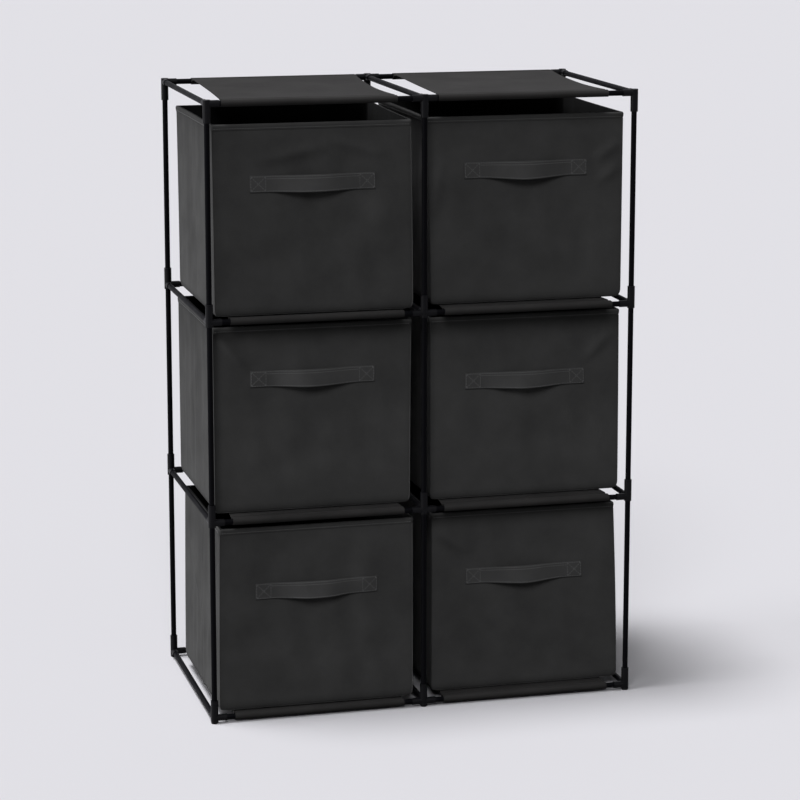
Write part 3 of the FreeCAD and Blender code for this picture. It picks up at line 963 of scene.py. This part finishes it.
def model_boards(form):
    """Boards between cover and lining; the side boards are in two halves, so that the box folds flat."""
    sizes = form.sizes
    low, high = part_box("box_bottom_left_boards")
    origin = form.place("bottom", "left")
    low, high = low - origin, high - origin
    middle = (low.y + high.y) / 2
    corners = [
        ((low.x, low.y, low.z), (high.x, low.y + sizes.board, high.z)),
        ((low.x, high.y - sizes.board, low.z), (high.x, high.y, high.z)),
    ]
    for side in (low.x, high.x - sizes.board):
        front_end, back_end = low.y + sizes.board, high.y - sizes.board
        corners.append(((side, front_end, low.z), (side + sizes.board, middle - sizes.fold_gap / 2, high.z)))
        corners.append(((side, middle + sizes.fold_gap / 2, low.z), (side + sizes.board, back_end, high.z)))
    boards = joined([block("board", *pair) for pair in corners], "boards")

    def faces_out(spot):
        """Sides of the box on which a corner of a board lies."""
        sides = ((spot.x, low.x), (spot.x, high.x), (spot.y, low.y), (spot.y, high.y), (spot.z, low.z))
        return {count for count, (place, side) in enumerate(sides) if abs(place - side) < TOUCH}

    choose(boards, "EDGE", lambda a, b: len(faces_out(a) & faces_out(b)) > 1)
    bpy.ops.mesh.bevel(offset=sizes.corner - sizes.cover_cloth, segments=3, affect="EDGES")
    start_fresh()
    for axis in "XYZ":
        span = (getattr(low, axis.lower()), getattr(high, axis.lower()))
        cut_across(boards, axis, spaced(*span, BOARD_GRID * sizes.step)[1:-1])
    cut_across(boards, "Z", [low.z + sizes.foot * share for share in BOARD_FOOT_CUTS])
    unwrap(boards)
    return boards


def model_base(form):
    """Loose base board wrapped in cloth, with softly rounded edges."""
    sizes = form.sizes
    low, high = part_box("box_bottom_left_base")
    origin = form.place("bottom", "left")
    play = Vector((sizes.base_play, sizes.base_play, 0))
    base = block("base", low - origin + play, high - origin - play)
    choose(base, "EDGE", lambda a, b: abs(a.z - b.z) > TOUCH)
    bpy.ops.mesh.bevel(offset=sizes.base_corner, segments=4, affect="EDGES")
    start_fresh()
    apply_modifier(base, "BEVEL", width=sizes.base_edge, segments=3, limit_method="ANGLE")
    unwrap(base)
    return base


def model_strap(strap):
    """Folded strap about its own middle, flat on the plane of the wall until it is bowed."""
    size = box_size("box_bottom_left_handle")
    start_fresh()
    bpy.ops.mesh.primitive_grid_add(
        x_subdivisions=round(size.x / strap.step),
        y_subdivisions=STRAP_ROWS,
        size=1,
        rotation=(math.radians(90), 0, 0),
    )
    thing = named("strap")
    thing.scale = (size.x, size.z, 1)
    set_in_mesh(thing)
    shift(thing, (0, -strap.clear, 0))
    apply_modifier(thing, "SOLIDIFY", thickness=strap.thick, offset=1)
    apply_modifier(thing, "BEVEL", width=strap.thick / 3, segments=2, limit_method="ANGLE")
    unwrap(thing)
    return thing


def model_strap_stitching(strap, stitch):
    """Stitches along both edges of the strap, and a crossed square at each end."""
    size = box_size("box_bottom_left_handle")
    inner = size.z - 2 * stitch.edge
    square = strap.sewn - 1.5 * stitch.edge
    rows = []

    def row(span, x, z, tilt=0):
        """Adds a row of stitches at a place on the strap, tilted by so many degrees."""
        piece = turned(stitch_row(stitch, span), x=90)
        turned(piece, y=tilt)
        rows.append(shift(piece, (x, 0, z)))

    row(size.x - 2 * strap.sewn, 0, size.z / 2 - stitch.second)
    for side in (-1, 1):
        row(size.x - 2 * stitch.edge, 0, side * inner / 2)
        end = side * (size.x / 2 - stitch.edge - square / 2)
        row(inner, end - square / 2, 0, 90)
        row(inner, end + square / 2, 0, 90)
        tilt = math.degrees(math.atan2(inner, square))
        diagonal = math.hypot(inner, square)
        row(diagonal, end, 0, tilt)
        row(diagonal, end, 0, -tilt)
    stitches = joined(rows, "strap_stitching")
    return shift(stitches, (0, -strap.thick - stitch.sunk, 0))


def bow_strap(thing, strap, index):
    """Stands the middle of the strap off the wall, its lower edge more than its upper one."""
    size = box_size("box_bottom_left_handle")
    span = size.x / 2 - strap.sewn

    def move(place, normal):
        along = min(1.0, abs(place.x) / span)
        share = math.cos(along * math.pi / 2) ** 2
        lower = 0.5 - place.z / size.z
        place.y -= share * (strap.bow + strap.roll * (2 * lower - 1))
        place.z -= share * strap.dip[index] * lower
        return place

    reshape(thing, move)


def model_hem_stitching(form, stitch):
    """One line of stitches round the rim band."""
    sizes = form.sizes
    up = form.height - stitch.hem_drop
    out = form.hem_out(up) + stitch.sunk
    margin = 2 * sizes.corner
    walls = (
        (form.width, 0, (0, -out, up)),
        (form.depth, 90, (form.width / 2 + out, form.depth / 2, up)),
        (form.width, 180, (0, form.depth + out, up)),
        (form.depth, 270, (-form.width / 2 - out, form.depth / 2, up)),
    )
    rows = []
    for span, turn, place in walls:
        row = turned(stitch_row(stitch, span - margin), x=90)
        rows.append(shift(turned(row, z=turn), place))
    return joined(rows, "hem_stitching")


class RACK_OT_boxes(bpy.types.Operator):
    """Makes the six lined boxes with their covers, boards, bases, handles and stitching."""

    bl_idname = "rack.boxes"
    bl_label = "Make boxes"

    def execute(self, context):
        strap = context.scene.rack_strap
        form = BoxForm(context.scene.rack_box)
        patterns = self.make_patterns(context.scene, form)
        for index, (tier, bay) in enumerate(BOXES):
            made = {}
            for name, (pattern, slot, material) in patterns.items():
                piece = copied(pattern, f"{tier}_{bay}_{name}")
                if name.startswith("handle"):
                    bow_strap(piece, strap, index)
                    shift(piece, (0, 0, form.handle_height(tier, bay)))
                reshape(piece, form.settle(index, name == "cover"))
                if name == "base":
                    shift(piece, (form.sizes.base_shift[index], 0, 0))
                shift(piece, form.place(tier, bay))
                smooth(piece)
                body = f"base_{tier}_{bay}" if name == "base" else f"box_{tier}_{bay}"
                nodes = [] if name.endswith("stitching") else [f"box_{tier}_{bay}_{name}"]
                made[name] = finished(piece, body, slot, material, *nodes)
            self.declare(made, patterns)
        for pattern, _, _ in patterns.values():
            discard(pattern)
        return {"FINISHED"}

    def make_patterns(self, scene, form):
        """Models each piece of a box once, with its material slot and its material."""
        colours, strap, stitch = scene.rack_colours, scene.rack_strap, scene.rack_stitch
        # The box cloth gets upright streaks of painted light and shade of folds on its sides
        cloth = non_woven("box_cloth", colours.cover, painted_fold_shade=0.1)
        # The lining and the base take the darkened lining colour: painted shade inside the boxes
        lining_cloth = non_woven("lining_cloth", colours.lining, sheen=0.02)
        strap_cloth = non_woven("strap_cloth", colours.strap, emboss=0.25)
        thread = sewing_thread("box_thread", colours.thread)
        board = grey_board("stiffening_board", colours.board)
        return {
            "cover": (model_cover(form), "box_cloth", cloth),
            "lining": (model_lining(form), "lining_cloth", lining_cloth),
            "boards": (model_boards(form), "stiffening_board", board),
            "base": (model_base(form), "lining_cloth", lining_cloth),
            "handle": (model_strap(strap), "strap_webbing", strap_cloth),
            "handle_stitching": (model_strap_stitching(strap, stitch), "strap_webbing", thread),
            "hem_stitching": (model_hem_stitching(form, stitch), "box_cloth", thread),
        }

    def declare(self, made, patterns):
        """Does nothing with the made pieces and the patterns."""


# Frame and stage


class RACK_OT_frame(bpy.types.Operator):
    """Finishes the steel tubes and the plastic connectors."""

    bl_idname = "rack.frame"
    bl_label = "Finish frame"

    def execute(self, context):
        colours = context.scene.rack_colours
        coat = powder_coat("powder_coat", colours.tube)
        plastic = moulded_plastic("connector_plastic", colours.connector)
        for name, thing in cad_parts.items():
            if name.startswith(("upright", "width_rails", "depth_rails")):
                material = coat
            elif "connectors" in name:
                material = plastic
            else:
                continue
            give_finish(thing, material)
        return {"FINISHED"}


def seen_directly(tree):
    """Socket that is 1 for what the camera, a mirror or glass shows, and 0 for light thrown back."""
    path = tree.nodes.new("ShaderNodeLightPath")
    seen = path.outputs["Is Camera Ray"]
    for ray in ("Is Glossy Ray", "Is Transmission Ray"):
        either = tree.nodes.new("ShaderNodeMath")
        either.operation = "MAXIMUM"
        tree.links.new(seen, either.inputs[0])
        tree.links.new(path.outputs[ray], either.inputs[1])
        seen = either.outputs[0]
    return seen


class RACK_OT_stage(bpy.types.Operator):
    """Sets the pale floor, the soft light and the camera."""

    bl_idname = "rack.stage"
    bl_label = "Set stage"

    def execute(self, context):
        stage, colours = context.scene.rack_stage, context.scene.rack_colours
        self.lay_floor(stage, colours)
        self.add_sun("key_light", stage.key, stage.key_turn, stage.key_height, stage.key_spread)
        self.add_sun("side_light", stage.side, stage.side_turn, stage.side_height, stage.side_spread)
        self.add_sun("fill_light", stage.fill, stage.fill_turn, stage.fill_height, stage.fill_spread)
        self.light_sky(stage, colours)
        self.place_camera(stage)
        context.scene.view_settings.view_transform = "Standard"
        return {"FINISHED"}

    def lay_floor(self, stage, colours):
        """Wide plain floor under the feet."""
        start_fresh()
        bpy.ops.mesh.primitive_plane_add(size=stage.floor)
        floor = named("floor")
        finish = Finish("studio_floor")
        tone = finish.mixed(colours.bounce, colours.floor, seen_directly(finish.tree))
        finish.set(Base_Color=tone, Roughness=0.9, Specular_IOR_Level=0.0)
        give_finish(floor, finish.material)

    def add_sun(self, name, strength, turn, height, spread):
        """Wide soft light that comes from far off."""
        start_fresh()
        bpy.ops.object.light_add(type="SUN")
        lamp = bpy.context.object
        lamp.name = name
        lamp.data.energy = strength
        lamp.data.angle = spread
        lamp.rotation_euler = Euler((math.radians(90) - height, 0, -turn))

    def light_sky(self, stage, colours):
        """Even light from all round, behind a pale backdrop."""
        world = bpy.data.worlds.new("studio")
        bpy.context.scene.world = world
        world.use_nodes = True
        tree = world.node_tree
        light = tree.nodes["Background"]
        light.inputs["Color"].default_value = (1, 1, 1, 1)
        light.inputs["Strength"].default_value = stage.sky
        backdrop = tree.nodes.new("ShaderNodeBackground")
        backdrop.inputs["Color"].default_value = (*colours.floor, 1)
        mix = tree.nodes.new("ShaderNodeMixShader")
        tree.links.new(seen_directly(tree), mix.inputs[0])
        tree.links.new(light.outputs[0], mix.inputs[1])
        tree.links.new(backdrop.outputs[0], mix.inputs[2])
        tree.links.new(mix.outputs[0], tree.nodes["World Output"].inputs["Surface"])

    def place_camera(self, stage):
        """Camera a little above the rack, in front and to the left."""
        bpy.ops.object.camera_add(location=stage.camera)
        camera = bpy.context.object
        camera.rotation_euler = Euler((math.radians(90) - stage.elevation, 0, stage.azimuth))
        camera.data.lens = stage.lens
        camera.data.sensor_width = stage.sensor
        camera.data.shift_y = stage.shift
        bpy.context.scene.camera = camera


class RACK_PT_panel(bpy.types.Panel):
    """Lists the steps that dress the rack."""

    bl_label = "Storage rack"
    bl_space_type = "VIEW_3D"
    bl_region_type = "UI"
    bl_category = "Rack"

    def draw(self, context):
        for step in STEPS:
            self.layout.operator(step.bl_idname)
        for name in GROUPS:
            group = getattr(context.scene, name)
            for item in group.__annotations__:
                self.layout.prop(group, item)


STEPS = (RACK_OT_frame, RACK_OT_shelves, RACK_OT_boxes, RACK_OT_stage)


def register():
    """Registers the properties, the steps and the panel."""
    for name, group in GROUPS.items():
        bpy.utils.register_class(group)
        setattr(bpy.types.Scene, name, PointerProperty(type=group))
    for step in (*STEPS, RACK_PT_panel):
        bpy.utils.register_class(step)


def unregister():
    """Takes the panel, the steps and the properties away again."""
    for step in (RACK_PT_panel, *reversed(STEPS)):
        bpy.utils.unregister_class(step)
    for name, group in reversed(GROUPS.items()):
        delattr(bpy.types.Scene, name)
        bpy.utils.unregister_class(group)


def main():
    """Dresses the rack step by step."""
    register()
    bpy.ops.rack.frame()
    bpy.ops.rack.shelves()
    bpy.ops.rack.boxes()
    bpy.ops.rack.stage()


if __name__ == "__main__":
    main()
